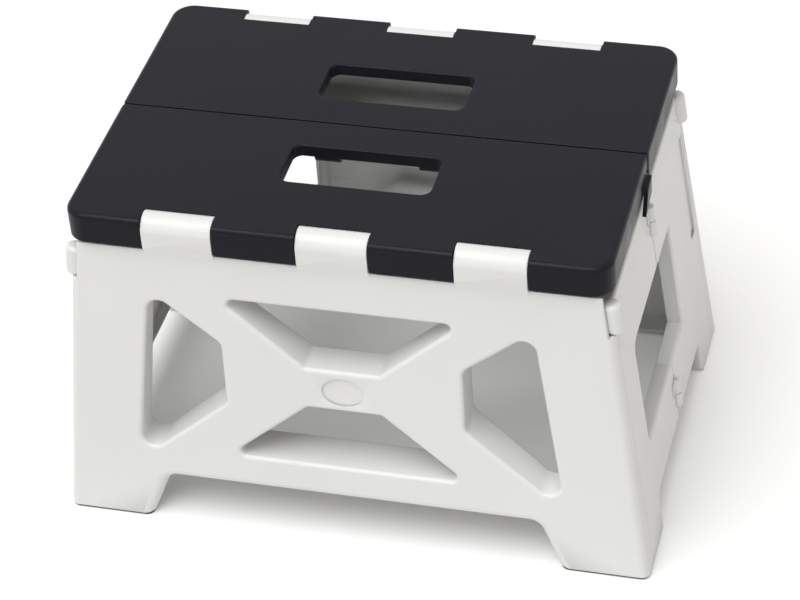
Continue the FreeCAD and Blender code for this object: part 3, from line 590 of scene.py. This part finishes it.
def floor_paper(look):
    """Pale studio paper that the camera sees as white, with the object's shadow on it."""
    material = bpy.data.materials.new("floor_paper")
    material.use_nodes = True
    nodes, links = material.node_tree.nodes, material.node_tree.links
    shader = nodes["Principled BSDF"]
    shader.inputs["Base Color"].default_value = (*look.floor, 1.0)
    shader.inputs["Roughness"].default_value = PAPER_ROUGHNESS
    shader.inputs["Specular IOR Level"].default_value = 0.0
    shader.inputs["Emission Color"].default_value = WHITE
    lift = nodes.new("ShaderNodeMath")
    lift.operation = "MULTIPLY"
    links.new(seen_directly(nodes, links), lift.inputs[0])
    lift.inputs[1].default_value = look.glow
    links.new(lift.outputs[0], shader.inputs["Emission Strength"])
    return material


def studio_world(look):
    """Even light from all around, which the camera and reflections see as a white surround."""
    world = bpy.data.worlds.new("studio")
    world.use_nodes = True
    nodes, links = world.node_tree.nodes, world.node_tree.links
    background = nodes["Background"]
    background.inputs["Color"].default_value = (*look.ambient_tint, 1.0)
    background.inputs["Strength"].default_value = look.ambient
    backdrop = nodes.new("ShaderNodeBackground")
    backdrop.inputs["Color"].default_value = WHITE
    blend = nodes.new("ShaderNodeMixShader")
    links.new(seen_directly(nodes, links), blend.inputs["Fac"])
    links.new(background.outputs[0], blend.inputs[1])
    links.new(backdrop.outputs[0], blend.inputs[2])
    links.new(blend.outputs[0], nodes["World Output"].inputs["Surface"])
    bpy.context.scene.world = world


def key_light(look):
    """One wide soft light from above the stool."""
    lamp = bpy.data.lights.new("key_light", "SUN")
    lamp.energy = look.key
    lamp.color = look.key_tint
    lamp.angle = look.key_spread
    key = bpy.data.objects.new("key_light", lamp)
    key.rotation_euler = Vector(look.key_from).to_track_quat("Z", "Y").to_euler()
    bpy.context.scene.collection.objects.link(key)


class StoolStage(bpy.types.Operator):
    """Set the floor, the light and the camera"""
    bl_idname = "stool.stage"
    bl_label = "Stage"

    def execute(self, context):
        scene = context.scene
        look = scene.stool_stage
        sheet = bmesh.new()
        bmesh.ops.create_grid(sheet, x_segments=1, y_segments=1, size=FLOOR_HALF)
        mesh = bpy.data.meshes.new("studio_floor")
        sheet.to_mesh(mesh)
        sheet.free()
        mesh.materials.append(floor_paper(look))
        link("studio_floor", mesh)
        studio_world(look)
        key_light(look)
        camera = bpy.data.cameras.new("photo_camera")
        camera.sensor_width = FILM_WIDTH
        camera.lens = look.camera_lens
        camera.shift_x, camera.shift_y = look.camera_shift
        camera.clip_start = NEAR_CLIP
        eye = bpy.data.objects.new("photo_camera", camera)
        eye.location = look.camera_place
        eye.rotation_euler = Euler(look.camera_turn, "XYZ")
        scene.collection.objects.link(eye)
        scene.camera = eye
        scene.view_settings.view_transform = "Standard"
        return {"FINISHED"}


SETTINGS = {"stool_tread": StoolTreadSettings, "stool_frame": StoolFrameSettings,
            "stool_hinge": StoolHingeSettings, "stool_foot": StoolFootSettings,
            "stool_stage": StoolStageSettings}
OPERATORS = (StoolTread, StoolTreadRibs, StoolPanels, StoolPanelRibs, StoolLeaves, StoolHinges,
             StoolFeet, StoolStage)


class StoolSidebar(bpy.types.Panel):
    """Lists the pieces of the stool"""
    bl_idname = "VIEW3D_PT_stool"
    bl_label = "Folding step stool"
    bl_space_type = "VIEW_3D"
    bl_region_type = "UI"
    bl_category = "Stool"

    def draw(self, context):
        for operator in OPERATORS:
            self.layout.operator(operator.bl_idname)


def register():
    """Add the settings, the operators and the panel."""
    for settings in SETTINGS.values():
        bpy.utils.register_class(settings)
    for name, settings in SETTINGS.items():
        setattr(bpy.types.Scene, name, bpy.props.PointerProperty(type=settings))
    for cls in (*OPERATORS, StoolSidebar):
        bpy.utils.register_class(cls)


def unregister():
    """Take away the panel, the operators and the settings."""
    for cls in (StoolSidebar, *reversed(OPERATORS)):
        bpy.utils.unregister_class(cls)
    for name, settings in SETTINGS.items():
        delattr(bpy.types.Scene, name)
        bpy.utils.unregister_class(settings)


def main():
    """Make every piece and the stage."""
    register()
    for operator in OPERATORS:
        group, name = operator.bl_idname.split(".")
        getattr(getattr(bpy.ops, group), name)()


if __name__ == "__main__":
    main()
